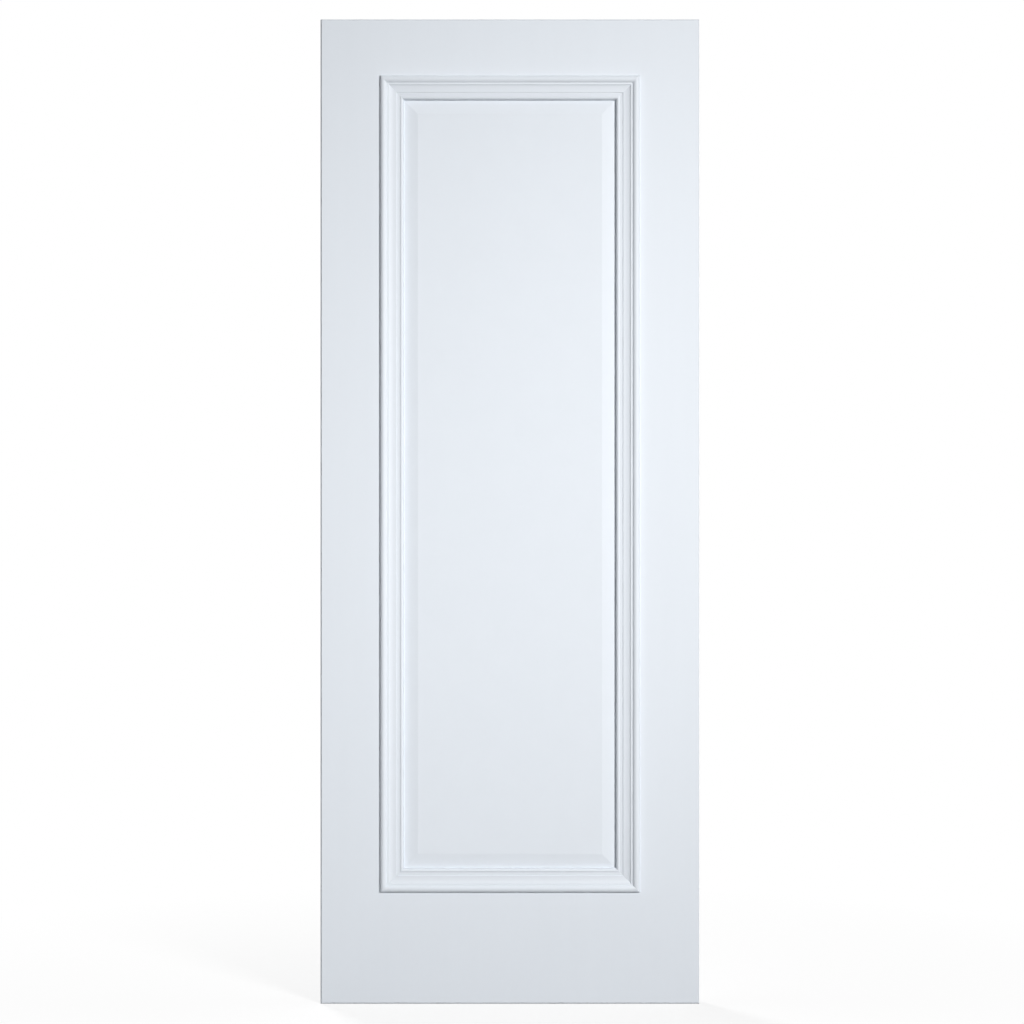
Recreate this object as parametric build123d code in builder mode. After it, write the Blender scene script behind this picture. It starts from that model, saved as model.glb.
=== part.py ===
from build123d import *

import os
from math import asin, degrees

# An interior door leaf with one raised and fielded panel, held by mitred bolection mouldings.
# X runs across the leaf from its hinge edge, Z runs up, and the front of the leaf faces -Y.
# The origin lies on the hinge edge, halfway up it and halfway through its thickness.
# All sizes are in millimetres.

# Leaf
leaf_width = 762.0
leaf_height = 1981.0
leaf_thickness = 35.0
arris_width = 2.5

# Stiles and rails: a timber core between two skins, with a lipping on each long edge
stile_width = 132.0
top_rail_width = 126.0
bottom_rail_width = 237.0
skin_thickness = 3.0
lipping_width = 12.0

# Joint between rails and stiles, and the groove that the panel stands in
groove_depth = 12.0
tongue_end_gap = 1.0
panel_edge_play = 0.25
panel_expansion_gap = 2.5

# Panel: thick in its raised field, thinner round its edge, with a bevel between
panel_thickness = 22.0
panel_edge_thickness = 15.0
bevel_width = 28.0

# Bolection moulding: heights are measured out from the face of the stiles
moulding_width = 48.2
moulding_lap = 12.5
moulding_play = 0.2
roll_radius = 7.6
roll_foot = 0.7
fillet_height = 4.0
fillet_end = 18.3
cove_end = 30.9
cove_floor = 0.5
band_start = 33.8
band_height = -1.0
bead_half_width = 5.0
bead_height = 7.0
bead_top = 0.25

# Levels and places worked out from the sizes above
face_level = leaf_thickness / 2
core_level = face_level - skin_thickness
groove_width = panel_edge_thickness + 2 * panel_edge_play
panel_edge_level = panel_edge_thickness / 2
panel_field_level = panel_thickness / 2
leaf_bottom = -leaf_height / 2
leaf_top = leaf_height / 2
opening_width = leaf_width - 2 * stile_width
opening_bottom = leaf_bottom + bottom_rail_width
opening_top = leaf_top - top_rail_width
opening_height = opening_top - opening_bottom
opening_middle = (opening_bottom + opening_top) / 2
leaf_middle = Plane.YZ.offset(leaf_width / 2)

# The mouldings overlap the stiles and rails by their lap, all round the opening
moulding_left = stile_width - moulding_lap
moulding_right = leaf_width - moulding_left
moulding_bottom = opening_bottom - moulding_lap
moulding_top = opening_top + moulding_lap
moulding_run_x = moulding_right - moulding_left
moulding_run_z = moulding_top - moulding_bottom

os.makedirs("parts", exist_ok=True)


def finish(piece, name):
    """Name the piece and write it to its own file."""
    piece.part.label = name
    export_step(piece.part, f"parts/{name}.step")


# Stiles

# The core of the hanging stile is grooved from end to end along the panel's side.
with BuildPart() as hanging_stile_core:
    with BuildSketch(Plane.XY.offset(leaf_bottom)):
        with Locations((lipping_width, 0)):
            Rectangle(stile_width - lipping_width, 2 * core_level, align=(Align.MIN, Align.CENTER))
        with Locations((stile_width, 0)):
            Rectangle(groove_depth, groove_width, align=(Align.MAX, Align.CENTER), mode=Mode.SUBTRACT)
    extrude(amount=leaf_height)

with BuildPart() as lock_stile_core:
    mirror(hanging_stile_core.part, about=leaf_middle)

with BuildPart() as hanging_stile_lipping:
    with BuildSketch(Plane.XY.offset(leaf_bottom)):
        Rectangle(lipping_width, 2 * core_level, align=(Align.MIN, Align.CENTER))
    extrude(amount=leaf_height)

with BuildPart() as lock_stile_lipping:
    mirror(hanging_stile_lipping.part, about=leaf_middle)

# The skin's arrises are planed off on the three sides where it meets the outside of the leaf.
with BuildPart() as hanging_stile_front_skin:
    with BuildSketch(Plane.XZ.offset(core_level)):
        Rectangle(stile_width, leaf_height, align=(Align.MIN, Align.CENTER))
    extrude(amount=skin_thickness)
    front_face = hanging_stile_front_skin.faces().sort_by(Axis.Y)[0]
    chamfer(front_face.edges().sort_by(Axis.X)[:-1], length=arris_width)

with BuildPart() as lock_stile_front_skin:
    mirror(hanging_stile_front_skin.part, about=leaf_middle)

with BuildPart() as hanging_stile_back_skin:
    mirror(hanging_stile_front_skin.part, about=Plane.XZ)

with BuildPart() as lock_stile_back_skin:
    mirror(lock_stile_front_skin.part, about=Plane.XZ)

finish(hanging_stile_core, "hanging_stile_core")
finish(lock_stile_core, "lock_stile_core")
finish(hanging_stile_lipping, "hanging_stile_lipping")
finish(lock_stile_lipping, "lock_stile_lipping")
finish(hanging_stile_front_skin, "hanging_stile_front_skin")
finish(hanging_stile_back_skin, "hanging_stile_back_skin")
finish(lock_stile_front_skin, "lock_stile_front_skin")
finish(lock_stile_back_skin, "lock_stile_back_skin")


# Rails

def rail_core(rail_width, outer_level, outwards):
    """A rail's core between the stiles, grooved along its panel side, with a tongue at each end.

    outwards is 1 on the top rail and -1 on the bottom rail: the way from the panel to the leaf's edge.
    The tongues fill the stiles' grooves, and stop short of the panel's corner.
    """
    inner_level = outer_level - outwards * rail_width
    tongue_length = groove_depth - tongue_end_gap
    tongue_height = rail_width - groove_depth
    with BuildPart() as core:
        with Locations((leaf_width / 2, 0, outer_level - outwards * rail_width / 2)):
            Box(opening_width, 2 * core_level, rail_width)
        with Locations((leaf_width / 2, 0, outer_level - outwards * tongue_height / 2)):
            Box(opening_width + 2 * tongue_length, groove_width, tongue_height)
        with Locations((leaf_width / 2, 0, inner_level + outwards * groove_depth / 2)):
            Box(opening_width, groove_width, groove_depth, mode=Mode.SUBTRACT)
    return core


def rail_front_skin(rail_width, outer_level, outwards):
    """A rail's skin, between the skins of the stiles, its arris planed off along the leaf's edge."""
    rail_middle = outer_level - outwards * rail_width / 2
    skin_middle = -core_level - skin_thickness / 2
    with BuildPart() as skin:
        with Locations((leaf_width / 2, skin_middle, rail_middle)):
            Box(opening_width, skin_thickness, rail_width)
        front_face = skin.faces().sort_by(Axis.Y)[0]
        outer_edge = front_face.edges().sort_by(Axis((0, 0, 0), (0, 0, outwards)))[-1]
        chamfer(outer_edge, length=arris_width)
    return skin


top_rail_core = rail_core(top_rail_width, leaf_top, 1)
bottom_rail_core = rail_core(bottom_rail_width, leaf_bottom, -1)
top_rail_front_skin = rail_front_skin(top_rail_width, leaf_top, 1)
bottom_rail_front_skin = rail_front_skin(bottom_rail_width, leaf_bottom, -1)

with BuildPart() as top_rail_back_skin:
    mirror(top_rail_front_skin.part, about=Plane.XZ)

with BuildPart() as bottom_rail_back_skin:
    mirror(bottom_rail_front_skin.part, about=Plane.XZ)

finish(top_rail_core, "top_rail_core")
finish(bottom_rail_core, "bottom_rail_core")
finish(top_rail_front_skin, "top_rail_front_skin")
finish(top_rail_back_skin, "top_rail_back_skin")
finish(bottom_rail_front_skin, "bottom_rail_front_skin")
finish(bottom_rail_back_skin, "bottom_rail_back_skin")


# Panel

# The flat edge of the panel runs on behind the mouldings, and the bevel starts at their inner edge.
moulding_reach = moulding_width - moulding_lap
bevel_foot_width = opening_width - 2 * moulding_reach
bevel_foot_height = opening_height - 2 * moulding_reach
edge_overlap = groove_depth - panel_expansion_gap

with BuildPart() as panel:
    with Locations((leaf_width / 2, 0, opening_middle)):
        Box(opening_width + 2 * edge_overlap, panel_edge_thickness, opening_height + 2 * edge_overlap)
    with BuildSketch(Plane.XZ.offset(panel_edge_level)):
        with Locations((leaf_width / 2, opening_middle)):
            Rectangle(bevel_foot_width, bevel_foot_height)
    with BuildSketch(Plane.XZ.offset(panel_field_level)):
        with Locations((leaf_width / 2, opening_middle)):
            Rectangle(bevel_foot_width - 2 * bevel_width, bevel_foot_height - 2 * bevel_width)
    raised_field = loft(ruled=True)
    mirror(raised_field, about=Plane.XZ)

finish(panel, "raised_panel")


# Bolection mouldings

def bolection_moulding(inwards, outwards):
    """One mitred length of bolection moulding, round the opening on one face of the leaf.

    inwards is the way from the moulding's outer edge to the panel, and outwards the way out of the
    face that it lies on. The moulding runs square to both, from one corner of the frame to the next.
    """
    if inwards.X == 0:
        span, run_length = moulding_run_z, moulding_run_x
    else:
        span, run_length = moulding_run_x, moulding_run_z
    run = inwards.cross(outwards)
    frame_centre = Vector(leaf_width / 2, 0, opening_middle) + outwards * face_level
    start_corner = frame_centre - inwards * (span / 2) - run * (run_length / 2)
    end_corner = start_corner + run * run_length

    # The roll is a half round on a low foot, cut off by the flat fillet behind it.
    roll_top = roll_foot + roll_radius
    roll_end = roll_radius + (roll_radius**2 - (fillet_height - roll_foot) ** 2) ** 0.5
    # The bead is the upper half of an upright ellipse, whose outer side dips into the flat band.
    bead_centre = moulding_width - bead_half_width
    bead_foot = bead_top - bead_height
    dip = (band_height - bead_foot) / bead_height
    bead_start = bead_centre - bead_half_width * (1 - dip**2) ** 0.5
    # Behind, a rebate laps over the edge of the frame and the moulding seats on the panel's edge.
    rebate = moulding_lap + moulding_play
    seat = panel_edge_level - face_level

    with BuildPart() as moulding:
        with BuildSketch(Plane(origin=start_corner, x_dir=inwards, z_dir=run)):
            with BuildLine():
                Line((0, 0), (0, roll_foot))
                ThreePointArc((0, roll_foot), (roll_radius, roll_top), (roll_end, fillet_height))
                Line((roll_end, fillet_height), (fillet_end, fillet_height))
                EllipticalCenterArc(
                    center=(cove_end, fillet_height),
                    x_radius=cove_end - fillet_end,
                    y_radius=fillet_height - cove_floor,
                    start_angle=180,
                    arc_size=90,
                )
                Polyline(
                    (cove_end, cove_floor),
                    (band_start, cove_floor),
                    (band_start, band_height),
                    (bead_start, band_height),
                )
                EllipticalCenterArc(
                    center=(bead_centre, bead_foot),
                    x_radius=bead_half_width,
                    y_radius=bead_height,
                    start_angle=0,
                    arc_size=180 - degrees(asin(dip)),
                )
                Polyline(
                    (moulding_width, bead_foot),
                    (moulding_width, seat),
                    (rebate, seat),
                    (rebate, 0),
                    (0, 0),
                )
            make_face()
        extrude(amount=run_length)
        split(bisect_by=Plane(origin=start_corner, z_dir=run - inwards), keep=Keep.TOP)
        split(bisect_by=Plane(origin=end_corner, z_dir=-run - inwards), keep=Keep.TOP)
    return moulding


ways_to_panel = {
    "left": Vector(1, 0, 0),
    "right": Vector(-1, 0, 0),
    "bottom": Vector(0, 0, 1),
    "top": Vector(0, 0, -1),
}
ways_out = {"front": Vector(0, -1, 0), "back": Vector(0, 1, 0)}

for face_name, outwards in ways_out.items():
    for side_name, inwards in ways_to_panel.items():
        finish(bolection_moulding(inwards, outwards), f"{face_name}_moulding_{side_name}")
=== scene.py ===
import math

import bpy
import numpy as np
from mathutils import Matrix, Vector


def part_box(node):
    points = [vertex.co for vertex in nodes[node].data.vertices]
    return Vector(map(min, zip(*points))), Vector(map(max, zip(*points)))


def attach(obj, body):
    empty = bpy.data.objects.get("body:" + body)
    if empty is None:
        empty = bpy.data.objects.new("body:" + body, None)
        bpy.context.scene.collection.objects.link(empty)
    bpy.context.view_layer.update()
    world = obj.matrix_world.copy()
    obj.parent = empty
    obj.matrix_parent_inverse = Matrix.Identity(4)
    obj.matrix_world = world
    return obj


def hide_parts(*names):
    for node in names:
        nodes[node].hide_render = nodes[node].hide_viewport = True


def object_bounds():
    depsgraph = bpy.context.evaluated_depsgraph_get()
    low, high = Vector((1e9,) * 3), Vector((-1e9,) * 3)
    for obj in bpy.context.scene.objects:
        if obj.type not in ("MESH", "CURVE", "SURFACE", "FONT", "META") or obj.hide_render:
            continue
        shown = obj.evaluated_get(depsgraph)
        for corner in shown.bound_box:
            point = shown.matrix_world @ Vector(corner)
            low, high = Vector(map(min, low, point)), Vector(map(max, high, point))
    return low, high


# A white primed door leaf with one raised and fielded panel inside mitred bolection mouldings.
# Everything is in metres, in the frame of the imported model: X across from the hinge edge, Z up,
# the front of the leaf towards -Y.

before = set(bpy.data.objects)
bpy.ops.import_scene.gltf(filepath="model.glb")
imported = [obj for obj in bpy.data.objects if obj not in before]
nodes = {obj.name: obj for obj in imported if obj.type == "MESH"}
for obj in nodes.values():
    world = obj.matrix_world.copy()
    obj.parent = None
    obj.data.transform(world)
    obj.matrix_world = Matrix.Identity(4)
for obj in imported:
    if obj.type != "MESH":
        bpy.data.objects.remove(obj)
cad_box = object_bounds()

mm = 0.001

# Bolection moulding: across the moulding from its outer edge, and out from the face of the stiles
roll_radius = 7.6 * mm
roll_foot = 0.7 * mm
fillet_height = 4.0 * mm
fillet_end = 18.3 * mm
cove_end = 30.9 * mm
cove_floor = 0.5 * mm
band_start = 33.8 * mm
band_height = -1.0 * mm
bead_half_width = 5.0 * mm
bead_height = 7.0 * mm
bead_top = 0.25 * mm
moulding_width = 48.2 * mm
moulding_rebate = 12.7 * mm

# Panel: the bevel round its raised field, the strip of the field that goes with the bevel, and how
# thick the flat edge is. Faces that meet at more than the angle given show an edge between them.
bevel_width = 28.0 * mm
field_strip = 20.0 * mm
panel_edge_thickness = 15.0 * mm
panel_edge_angle = math.radians(5)

# Primer rounds every arris a little, more on the sanded panel than on the crisp mouldings, and
# fills the corner at each foot of a moulding by the width of its bridge
moulding_film = 0.28 * mm
panel_film = 0.9 * mm
paint_bridge = 0.25 * mm

# A mitre shows as a faint V: how far from the joint its rings stand, and how far each is sunk.
# The hidden seat behind the moulding has no V, and neither has the foot just above the seat.
mitre_reach = 0.9 * mm
mitre_depth = 0.10 * mm
mitre_places = np.array([0.0, 0.35, 1.0]) * mitre_reach
mitre_depths = np.array([1.0, 0.4, 0.0]) * mitre_depth
hidden_foot = 1.0 * mm

# How finely shapes are followed: points on each round, steps along a section while the primer
# softens it, the most that one face of it spans and turns, and the rings along a moulding
arc_points = 90
fine_step = 0.06 * mm
longest_step = 1.2 * mm
widest_turn = math.radians(6)
run_step = 120.0 * mm

# The leaf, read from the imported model
leaf_low, leaf_high = cad_box
leaf_middle = (leaf_low + leaf_high) / 2
face_level = -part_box("hanging_stile_front_skin")[0].y
core_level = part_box("hanging_stile_core")[1].y

# Camera: level and square to the face. The picture is so wide where the face is.
picture_width = 2.0600
camera_distance = 5.0
camera_right_of_middle = 4.3 * mm
camera_above_middle = -0.9 * mm
sensor_width = 36.0

# Light: places are from the middle of the leaf, and shares are of the light that falls there.
# The key stands to the right and high, and is aimed past the middle so that the near side stays even.
key_place = Vector((2.10, -4.0, 1.46))
key_aim = Vector((-0.60, 0.0, -0.42))
key_size = 1.1
key_beam = math.radians(87)
key_share = 0.88
fill_place = Vector((1.5, -4.5, -1.0))
fill_aim = Vector((0.0, 0.0, 0.0))
fill_size = 1.5
fill_beam = math.radians(150)
fill_share = 0.16
# One more hangs over the leaf, and its share is of the light on a level surface.
top_place = Vector((0.0, 0.0, 3.2))
top_aim = Vector((0.0, 0.0, 0.0))
top_size = 1.0
top_beam = math.radians(80)
top_share = 0.09
# The even light from all round, where white is 1
sky_level = 0.085

# Colours, in linear light, the last number of each being its alpha
primer_light = (0.768, 0.810, 0.862, 1.0)
primer_deep = (0.696, 0.737, 0.788, 1.0)
white = (1.0, 1.0, 1.0, 1.0)

# Primer: how large the bumps and stains of every coat are, and how high or deep
patch_size = 160 * mm
mottle_size = 7 * mm
peel_size = 3.2 * mm
stipple_size = 0.7 * mm
joint_width = 0.35 * mm
peel_height = 0.012 * mm
stipple_height = 0.008 * mm
joint_depth = 0.05 * mm

# How far each of them moves the tone from the deep colour towards the light one, and the roughness
patch_tone = 0.20
mottle_tone = 0.15
mark_tone = 0.20
joint_tone = 0.80
patch_roughness = 0.06
stipple_roughness = 0.05
mark_roughness = 0.03

# The marks of each surface: how high they stand, and how pale and how rough the coat is there
skin_coat = {"mark_height": 0.010 * mm, "paleness": 0.45, "roughness": 0.55}
panel_coat = {"mark_height": 0.008 * mm, "paleness": 0.45, "roughness": 0.55}
moulding_coat = {"mark_height": 0.003 * mm, "paleness": 0.10, "roughness": 0.55}
timber_coat = {"mark_height": 0.06 * mm, "paleness": 0.35, "roughness": 0.60}

# The map of a moulding, by the way round its section and the way along its run
moulding_map = "along_the_moulding"


class Value:
    """One output of a node. Arithmetic on it adds Math nodes to the same tree."""

    def __init__(self, recipe, socket):
        self.recipe = recipe
        self.socket = socket

    def math(self, operation, *numbers):
        return self.recipe.node("ShaderNodeMath", {"operation": operation}, dict(enumerate(numbers)))

    def __add__(self, other):
        return self.math("ADD", self, other)

    def __radd__(self, other):
        return self.math("ADD", other, self)

    def __sub__(self, other):
        return self.math("SUBTRACT", self, other)

    def __rsub__(self, other):
        return self.math("SUBTRACT", other, self)

    def __mul__(self, other):
        return self.math("MULTIPLY", self, other)

    def __rmul__(self, other):
        return self.math("MULTIPLY", other, self)

    def __truediv__(self, other):
        return self.math("DIVIDE", self, other)

    def __rtruediv__(self, other):
        return self.math("DIVIDE", other, self)

    def __abs__(self):
        return self.math("ABSOLUTE", self)

    def at_least(self, other):
        return self.math("MAXIMUM", self, other)

    def at_most(self, other):
        return self.math("MINIMUM", self, other)


class Recipe:
    """A tree of shader nodes, for a material or for the world."""

    def __init__(self, owner):
        owner.use_nodes = True
        self.tree = owner.node_tree
        self.tree.nodes.clear()

    def node(self, kind, settings, sockets, output=0):
        """Add a node: its settings first, then the values or links of its sockets. Gives one output."""
        node = self.tree.nodes.new(kind)
        for name, setting in settings.items():
            setattr(node, name, setting)
        for name, content in sockets.items():
            if isinstance(content, Value):
                self.tree.links.new(content.socket, node.inputs[name])
            else:
                node.inputs[name].default_value = content
        if not node.outputs:
            return None
        return Value(self, node.outputs[output])

    def mix_colours(self, share, first, second):
        """The first colour, changing to the second as the share goes from 0 to 1.

        A Mix node has sockets for numbers and vectors too: those for colours are 6 and 7, and 2
        is the mixed colour.
        """
        sockets = {0: share, 6: first, 7: second}
        return self.node("ShaderNodeMix", {"data_type": "RGBA"}, sockets, output=2)

    def place(self):
        """Where a point is on the object."""
        return self.node("ShaderNodeTexCoord", {}, {}, output="Object")

    def along_axis(self, vector, axis):
        """One of the three numbers of a vector."""
        return self.node("ShaderNodeSeparateXYZ", {}, {"Vector": vector}, output=axis)

    def noise(self, place, lengths, detail=2.0):
        """Soft noise from 0 to 1, whose bumps have the lengths given along X, Y and Z."""
        scale = tuple(1.0 / length for length in lengths)
        counted = self.node("ShaderNodeMapping", {}, {"Vector": place, "Scale": scale})
        return self.node("ShaderNodeTexNoise", {}, {"Vector": counted, "Scale": 1.0, "Detail": detail})

    def spots(self, place, size, detail=2.0):
        """Soft noise from 0 to 1, whose bumps are as long every way."""
        return self.noise(place, (size, size, size), detail)

    def ray_seen_as_backdrop(self):
        """1 for what the camera, a reflection or a clear material looks at, and 0 for light itself."""
        seen = 0.0
        for ray in ("Is Camera Ray", "Is Glossy Ray", "Is Transmission Ray"):
            seen = seen + self.node("ShaderNodeLightPath", {}, {}, output=ray)
        return seen.at_most(1.0)


# Primer

def joint_line(recipe, place):
    """1 along the hairline joint between a skin and the timber behind it, on the leaf's edges.

    It falls evenly from 1 on the joint to 0 at the joint's width from it.
    """
    off_the_joint = abs(abs(recipe.along_axis(place, "Y")) - core_level)
    return (1.0 - off_the_joint / joint_width).at_least(0.0)


def primed(name, marks, mark_height, paleness, roughness):
    """A material for a coat of white primer.

    marks is a function that adds the marks of one surface to the recipe, and gives them as a value
    from 0 to 1. They show in the height, the tone and the gloss, under the stipple that all of the
    primer has. The paleness, from 0 to 0.45, is how much of the lightest primer is in the coat.
    """
    material = bpy.data.materials.new(name)
    recipe = Recipe(material)
    place = recipe.place()
    patches = recipe.spots(place, patch_size)
    mottle = recipe.spots(place, mottle_size)
    peel = recipe.spots(place, peel_size, detail=0.5)
    stipple = recipe.spots(place, stipple_size, detail=1.0)
    surface_marks = marks(recipe, place)
    joint = joint_line(recipe, place)
    tone = (
        patches * patch_tone
        + mottle * mottle_tone
        + surface_marks * mark_tone
        + paleness
        - joint * joint_tone
    )
    height = (
        peel * peel_height
        + stipple * stipple_height
        + surface_marks * mark_height
        - joint * joint_depth
    )
    dullness = (
        roughness
        + patches * patch_roughness
        + stipple * stipple_roughness
        - surface_marks * mark_roughness
    )
    paint = {
        "Base Color": recipe.mix_colours(tone, primer_deep, primer_light),
        "Roughness": dullness,
        "Normal": recipe.node("ShaderNodeBump", {}, {"Height": height, "Distance": 1.0, "Strength": 1.0}),
    }
    shader = recipe.node("ShaderNodeBsdfPrincipled", {}, paint)
    recipe.node("ShaderNodeOutputMaterial", {}, {"Surface": shader})
    return material


def roller_marks(recipe, place):
    """Long faint bands up the leaf where the roller passed."""
    width = 24 * mm
    length = 420 * mm
    return recipe.noise(place, (width, width, length))


def spray_marks(recipe, place):
    """The even coat that a spray leaves, a little thicker in some spots."""
    spot_size = 45 * mm
    return recipe.spots(place, spot_size)


def cutter_marks(recipe, place):
    """Fine lines along a moulding, left by the cutter that shaped it. They follow its own map."""
    fine_width = 0.8 * mm
    fine_length = 260 * mm
    broad_width = 4.5 * mm
    broad_length = 600 * mm
    fine_share = 0.45
    flat = 1.0
    along = recipe.node("ShaderNodeUVMap", {"uv_map": moulding_map}, {})
    fine = recipe.noise(along, (fine_width, fine_length, flat))
    broad = recipe.noise(along, (broad_width, broad_length, flat))
    return fine * fine_share + broad * (1.0 - fine_share)


def timber_marks(lengthwise):
    """Grain that shows through the primer, and the strokes of the brush along it.

    lengthwise has 1 for the axis that the timber's length follows, and 0 for the other two. A mark
    has its length along that axis and its width along the others.
    """
    grain_width = 0.9 * mm
    grain_length = 55 * mm
    brush_width = 2.2 * mm
    brush_length = 140 * mm
    grain_share = 0.6

    def marks(recipe, place):
        grain_lengths = [grain_length if way else grain_width for way in lengthwise]
        brush_lengths = [brush_length if way else brush_width for way in lengthwise]
        grain = recipe.noise(place, grain_lengths, detail=3.0)
        brush = recipe.noise(place, brush_lengths)
        return grain * grain_share + brush * (1.0 - grain_share)

    return marks


primed_skin = primed("primed_skin", roller_marks, **skin_coat)
primed_panel = primed("primed_panel", spray_marks, **panel_coat)
primed_moulding = primed("primed_moulding", cutter_marks, **moulding_coat)
primed_upright_timber = primed("primed_upright_timber", timber_marks((0, 0, 1)), **timber_coat)
primed_level_timber = primed("primed_level_timber", timber_marks((1, 0, 0)), **timber_coat)


def dress(node_name, material):
    """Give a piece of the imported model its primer."""
    for slot in nodes[node_name].material_slots:
        slot.material = material


for stile in ("hanging_stile", "lock_stile"):
    dress(f"{stile}_core", primed_upright_timber)
    dress(f"{stile}_lipping", primed_upright_timber)
    dress(f"{stile}_front_skin", primed_skin)
    dress(f"{stile}_back_skin", primed_skin)
for rail in ("top_rail", "bottom_rail"):
    dress(f"{rail}_core", primed_level_timber)
    dress(f"{rail}_front_skin", primed_skin)
    dress(f"{rail}_back_skin", primed_skin)


# Sections

def arc(centre, radius_across, radius_out, start, end):
    """Points on part of a circle or an upright ellipse about the centre.

    The angle grows evenly from start to end, and each point is the centre plus the radii times the
    angle's cosine, across, and its sine, out.
    """
    angle = np.linspace(start, end, arc_points)
    across = centre[0] + radius_across * np.cos(angle)
    out = centre[1] + radius_out * np.sin(angle)
    return np.column_stack([across, out])


def softened(corners, film, closed):
    """The line through the corners as a coat of primer leaves it.

    The line is walked in even steps, each point becomes the mean of its neighbours weighted by a
    bell curve as wide as the film, and then points are kept where the line has gone on, or has
    turned, far enough since the last one kept.
    """
    line = np.vstack([corners, corners[:1]]) if closed else np.asarray(corners)
    walked = np.append(0.0, np.cumsum(np.hypot(*np.diff(line, axis=0).T)))
    steps = np.arange(0.0, walked[-1], fine_step)
    even = np.column_stack([np.interp(steps, walked, line[:, axis]) for axis in (0, 1)])

    # Past four widths of the film, the bell curve is as good as nothing.
    reach = int(4 * film / fine_step)
    weights = np.exp(-0.5 * (np.arange(-reach, reach + 1) * fine_step / film) ** 2)
    weights = weights / weights.sum()
    ends = {"mode": "wrap"} if closed else {"mode": "reflect", "reflect_type": "odd"}
    padded = np.pad(even, ((reach, reach), (0, 0)), **ends)
    soft = np.column_stack([np.convolve(padded[:, axis], weights, mode="valid") for axis in (0, 1)])

    way = np.diff(soft, axis=0, append=soft[:1] if closed else soft[-1:])
    heading = np.unwrap(np.arctan2(way[:, 1], way[:, 0]))
    turned = np.abs(np.diff(heading, append=heading[-1:]))
    progress = np.cumsum(fine_step / longest_step + turned / widest_turn)
    kept = np.arange(progress[0], progress[-1])
    if not closed:
        kept = np.append(kept, progress[-1])
    return np.column_stack([np.interp(kept, progress, soft[:, axis]) for axis in (0, 1)])


def moulding_section():
    """The section of the moulding, from its outer foot over the front to its inner foot and back behind.

    The roll is a half round on a low foot, cut off by the flat fillet. The cove is a quarter of an
    ellipse, hollowed down from the fillet. A step leads from its floor to the flat band, and the
    bead is the upper half of an upright ellipse, whose outer side dips into the band. Behind are
    the seat on the panel's edge and the rebate that laps over the stiles and rails.
    """
    leftwards = math.pi
    downwards = 1.5 * math.pi
    roll_end = math.asin((fillet_height - roll_foot) / roll_radius)
    roll = arc((roll_radius, roll_foot), roll_radius, roll_radius, leftwards, roll_end)
    cove_width = cove_end - fillet_end
    cove_depth = fillet_height - cove_floor
    cove = arc((cove_end, fillet_height), cove_width, cove_depth, leftwards, downwards)
    bead_centre = moulding_width - bead_half_width
    bead_foot = bead_top - bead_height
    bead_start = leftwards - math.asin((band_height - bead_foot) / bead_height)
    bead = arc((bead_centre, bead_foot), bead_half_width, bead_height, bead_start, 0.0)
    seat_level = panel_edge_thickness / 2 - face_level
    corners = np.vstack([
        [(-paint_bridge, 0.0), (0.0, paint_bridge)],
        roll,
        cove,
        [(band_start, cove_floor), (band_start, band_height)],
        bead,
        [(moulding_width, seat_level + paint_bridge), (moulding_width + paint_bridge, seat_level)],
        [(moulding_rebate, seat_level), (moulding_rebate, 0.0)],
    ])
    return softened(corners, moulding_film, closed=True)


# Pieces

def add_piece(name, points, faces, smooth, material, node_name):
    """Make a mesh from whole arrays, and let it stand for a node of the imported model."""
    mesh = bpy.data.meshes.new(name)
    mesh.from_pydata(points.reshape(-1, 3), [], faces)
    mesh.polygons.foreach_set("use_smooth", smooth)
    mesh.materials.append(material)
    piece = bpy.data.objects.new(name, mesh)
    bpy.context.scene.collection.objects.link(piece)
    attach(piece, "root")
    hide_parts(node_name)
    return piece


def ring_faces(rings, around):
    """Quads from each ring of points to the next, closed round the ring, and a flat cap at each end."""
    ring = np.arange(rings - 1)[:, None] * around
    here = np.arange(around)[None, :]
    beside = (here + 1) % around
    quads = np.stack([ring + here, ring + around + here, ring + around + beside, ring + beside], axis=-1)
    first_cap = np.arange(around)
    last_cap = np.arange(around)[::-1] + (rings - 1) * around
    faces = quads.reshape(-1, 4).tolist() + [first_cap.tolist(), last_cap.tolist()]
    smooth = [True] * (len(faces) - 2) + [False, False]
    return faces, smooth


def mitred_moulding(name, section, corner, inwards, outwards, run_length):
    """A length of moulding: its section carried in a straight line from one mitre to the other.

    A point of the section that lies a width across from the outer edge starts that width after the
    corner and stops that width before the next, which cuts both mitres at 45 degrees. At each end
    three rings stand at the mitre's places, and their points are sunk by the mitre's depths, square
    to the section there, which leaves the faint V.
    """
    across, out = section.T
    way = np.roll(section, -1, axis=0) - np.roll(section, 1, axis=0)
    way = way / np.hypot(*way.T)[:, None]
    middle_shares = np.linspace(0.0, 1.0, int(run_length / run_step) + 1)[1:-1]
    unmoved = np.zeros(len(middle_shares))
    share = np.concatenate([np.zeros(3), middle_shares, np.ones(3)])
    offset = np.concatenate([mitre_places, unmoved, -mitre_places[::-1]])
    sunk = np.concatenate([mitre_depths, unmoved, mitre_depths[::-1]])
    depth = np.outer(sunk, out > out.min() + hidden_foot)
    sunk_across = across + way[:, 1] * depth
    sunk_out = out - way[:, 0] * depth
    along = across + np.outer(share, run_length - 2 * across) + offset[:, None]
    run = inwards.cross(outwards)
    points = np.array(corner) + (
        sunk_across[..., None] * np.array(inwards)
        + sunk_out[..., None] * np.array(outwards)
        + along[..., None] * np.array(run)
    )
    faces, smooth = ring_faces(len(share), len(section))
    piece = add_piece(f"{name}_primed", points, faces, smooth, primed_moulding, name)
    map_along(piece.data, section, along)


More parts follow.
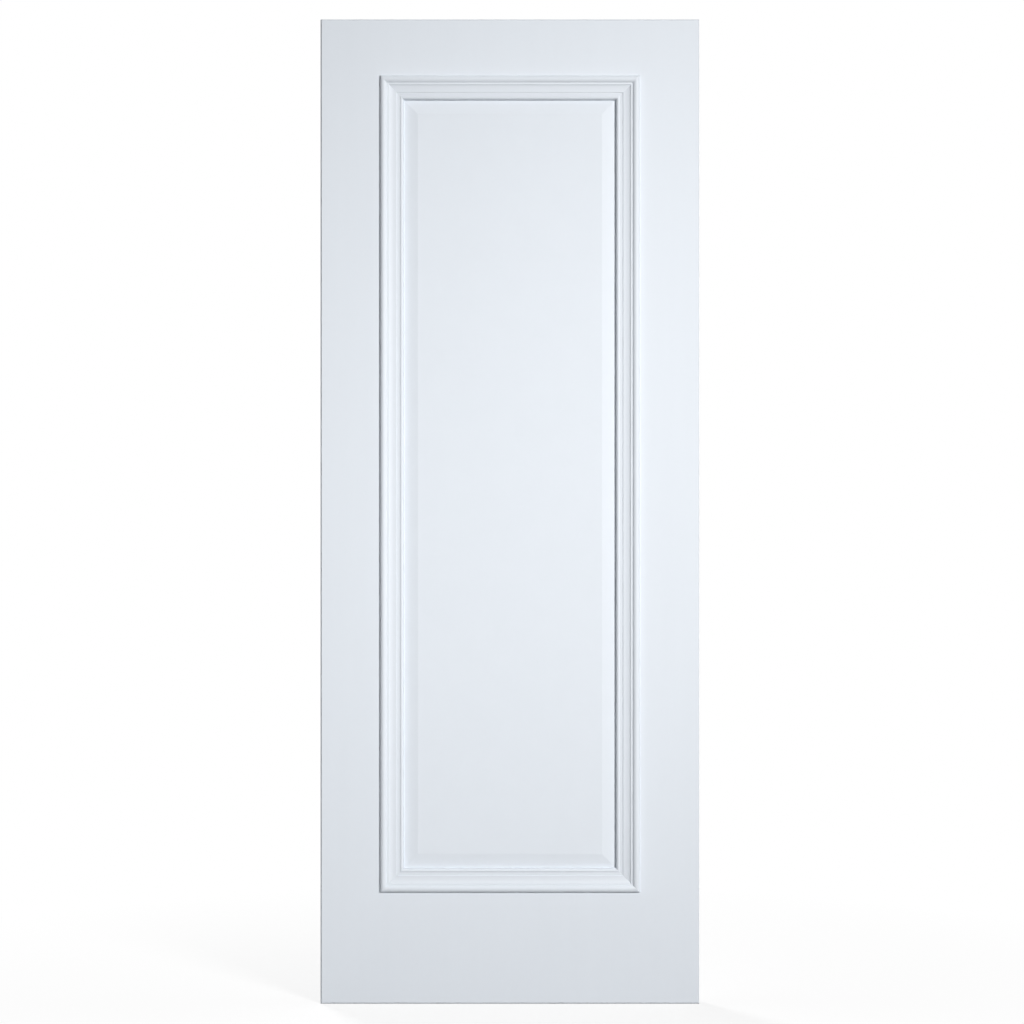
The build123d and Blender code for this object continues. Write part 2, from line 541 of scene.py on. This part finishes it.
def map_along(mesh, section, along):
    """Map a moulding: U is the length walked round its section, and V the length along its run."""
    step = np.hypot(*(np.roll(section, -1, axis=0) - section).T)
    walked = np.append(0.0, np.cumsum(step))
    rings, around = along.shape
    corner_rings = np.array([0, 1, 1, 0])
    corner_places = np.array([0, 0, 1, 1])
    ring = np.arange(rings - 1)[:, None, None] + corner_rings
    place = np.arange(around)[None, :, None] + corner_places
    ring, place = np.broadcast_arrays(ring, place)
    quads = np.stack([walked[place], along[ring, place % around]], axis=-1).reshape(-1, 2)
    cap = np.column_stack([walked[:-1], along[0]])
    layer = mesh.uv_layers.new(name=moulding_map)
    layer.uv.foreach_set("vector", np.vstack([quads, cap, cap[::-1]]).ravel())


ways_to_panel = {
    "left": Vector((1, 0, 0)),
    "right": Vector((-1, 0, 0)),
    "bottom": Vector((0, 0, 1)),
    "top": Vector((0, 0, -1)),
}
ways_out = {"front": Vector((0, -1, 0)), "back": Vector((0, 1, 0))}


def moulding_surround(face_name, outwards, section):
    """The four mitred lengths of moulding that go round the panel on one face of the leaf."""
    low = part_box(f"{face_name}_moulding_bottom")[0]
    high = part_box(f"{face_name}_moulding_top")[1]
    size = high - low
    middle = (low + high) / 2
    middle.y = outwards.y * face_level
    for side_name, inwards in ways_to_panel.items():
        run = inwards.cross(outwards)
        span = abs(inwards.dot(size))
        run_length = abs(run.dot(size))
        corner = middle - inwards * span / 2 - run * run_length / 2
        name = f"{face_name}_moulding_{side_name}"
        mitred_moulding(name, section, corner, inwards, outwards, run_length)


bolection = moulding_section()
for face_name, outwards in ways_out.items():
    moulding_surround(face_name, outwards, bolection)


def raised_panel():
    """The panel as rings, from the front field over the rim to the back field.

    Its section gives how far in from the rim each ring lies, and at what level. The ring is the
    rectangle that lies so far inside the panel's outline.
    """
    low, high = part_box("raised_panel")
    edge_level = panel_edge_thickness / 2
    field_level = high.y
    bevel_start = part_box("front_moulding_left")[1].x - low.x
    bevel_end = bevel_start + bevel_width
    front = np.array([
        (bevel_end + field_strip, field_level),
        (bevel_end, field_level),
        (bevel_start, edge_level),
        (0.0, edge_level),
    ])
    back = front[::-1] * (1, -1)
    inset, out = softened(np.vstack([front, back]), panel_film, closed=False).T
    corner_x = np.array([low.x, high.x, high.x, low.x])
    corner_z = np.array([low.z, low.z, high.z, high.z])
    inwards_x = np.array([1, -1, -1, 1])
    inwards_z = np.array([1, 1, -1, -1])
    x = corner_x + inset[:, None] * inwards_x
    z = corner_z + inset[:, None] * inwards_z
    y = np.broadcast_to(-out[:, None], x.shape)
    points = np.stack([x, y, z], axis=-1)
    faces, smooth = ring_faces(len(inset), len(corner_x))
    name = "raised_panel"
    piece = add_piece(f"{name}_primed", points, faces, smooth, primed_panel, name)
    piece.data.set_sharp_from_angle(angle=panel_edge_angle)


raised_panel()


# Floor, backdrop and light

def pale_floor():
    """A wide level floor under the leaf, white to the eye, which darkens only close round its foot.

    Seen as a backdrop, it is a dull surface with a light of its own at the leaf's foot, which takes
    the shadow, and changes evenly to plain white over the reach of that shadow. To light itself it
    is the dull surface alone.
    """
    half_size = 30.0
    corners = [(-1, -1), (1, -1), (1, 1), (-1, 1)]
    points = [(leaf_middle.x + half_size * x, half_size * y, leaf_low.z) for x, y in corners]
    mesh = bpy.data.meshes.new("floor")
    mesh.from_pydata(points, [], [(0, 1, 2, 3)])
    floor = bpy.data.objects.new("floor", mesh)
    bpy.context.scene.collection.objects.link(floor)
    material = bpy.data.materials.new("pale_floor")
    recipe = Recipe(material)
    lit_colour = (0.25, 0.25, 0.25, 1.0)
    own_light = 0.74
    shadow_reach = 1.6
    away = recipe.node(
        "ShaderNodeVectorMath",
        {"operation": "DISTANCE"},
        {0: recipe.place(), 1: (leaf_middle.x, 0.0, leaf_low.z)},
        output="Value",
    )
    far = (away / shadow_reach).at_most(1.0)
    lit = recipe.node("ShaderNodeBsdfDiffuse", {}, {"Color": lit_colour})
    glow = recipe.node("ShaderNodeEmission", {}, {"Color": white, "Strength": own_light})
    both = recipe.node("ShaderNodeAddShader", {}, {0: lit, 1: glow})
    plain = recipe.node("ShaderNodeEmission", {}, {"Color": white, "Strength": 1.0})
    seen = recipe.node("ShaderNodeMixShader", {}, {0: far, 1: both, 2: plain})
    surface = recipe.node("ShaderNodeMixShader", {}, {0: recipe.ray_seen_as_backdrop(), 1: lit, 2: seen})
    recipe.node("ShaderNodeOutputMaterial", {}, {"Surface": surface})
    mesh.materials.append(material)


def soft_lamp(name, place, aim, size, beam, share, facing):
    """A square soft lamp with a grid that narrows its beam, aimed at a point of the leaf.

    Its share is of the light on a surface in the middle of the leaf that faces the way given. Its
    power is pi squared times its share and the square of its distance, divided by the cosines of
    the angles that the light makes with that surface and with the lamp, and by the gain of the
    beam: how far the tangent of half the beam exceeds the tangent of the angle off the aim, over
    how far it exceeds half the beam itself.
    """
    distance = place.length
    on_the_surface = abs(place.dot(facing)) / distance
    off_the_aim = (aim - place).angle(-place)
    gain = (math.tan(beam / 2) - math.tan(off_the_aim)) / (math.tan(beam / 2) - beam / 2)
    light = bpy.data.lights.new(name, "AREA")
    light.shape = "SQUARE"
    light.size = size
    light.spread = beam
    light.energy = share * math.pi**2 * distance**2 / (on_the_surface * math.cos(off_the_aim) * gain)
    lamp = bpy.data.objects.new(name, light)
    bpy.context.scene.collection.objects.link(lamp)
    lamp.location = leaf_middle + place
    lamp.rotation_euler = (aim - place).to_track_quat("-Z", "Y").to_euler()
    lamp.visible_camera = False


def lamps():
    """A key and a fill before the front, the same two behind the back, and one lamp over the leaf."""
    forward = Vector((0, -1, 0))
    upward = Vector((0, 0, 1))
    turns = {"front": Vector((1, 1, 1)), "back": Vector((-1, -1, 1))}
    for side, turn in turns.items():
        place, aim = key_place * turn, key_aim * turn
        soft_lamp(f"{side}_key", place, aim, key_size, key_beam, key_share, forward)
        place, aim = fill_place * turn, fill_aim * turn
        soft_lamp(f"{side}_fill", place, aim, fill_size, fill_beam, fill_share, forward)
    soft_lamp("top", top_place, top_aim, top_size, top_beam, top_share, upward)


def white_surroundings():
    """White wherever the camera or a reflection looks, and a dimmer even light on everything."""
    world = bpy.data.worlds.new("studio")
    bpy.context.scene.world = world
    recipe = Recipe(world)
    strength = recipe.ray_seen_as_backdrop() * (1.0 - sky_level) + sky_level
    glow = recipe.node("ShaderNodeBackground", {}, {"Color": white, "Strength": strength})
    recipe.node("ShaderNodeOutputWorld", {}, {"Surface": glow})


def square_camera():
    """A level camera that looks straight at the face, with the whole leaf in the picture."""
    camera_data = bpy.data.cameras.new("camera")
    camera_data.sensor_width = sensor_width
    camera_data.lens = sensor_width * camera_distance / picture_width
    camera = bpy.data.objects.new("camera", camera_data)
    bpy.context.scene.collection.objects.link(camera)
    camera.location = (
        leaf_middle.x + camera_right_of_middle,
        -face_level - camera_distance,
        leaf_middle.z + camera_above_middle,
    )
    camera.rotation_euler = (math.pi / 2, 0.0, 0.0)
    bpy.context.scene.camera = camera


pale_floor()
white_surroundings()
lamps()
square_camera()
bpy.context.scene.view_settings.view_transform = "Standard"
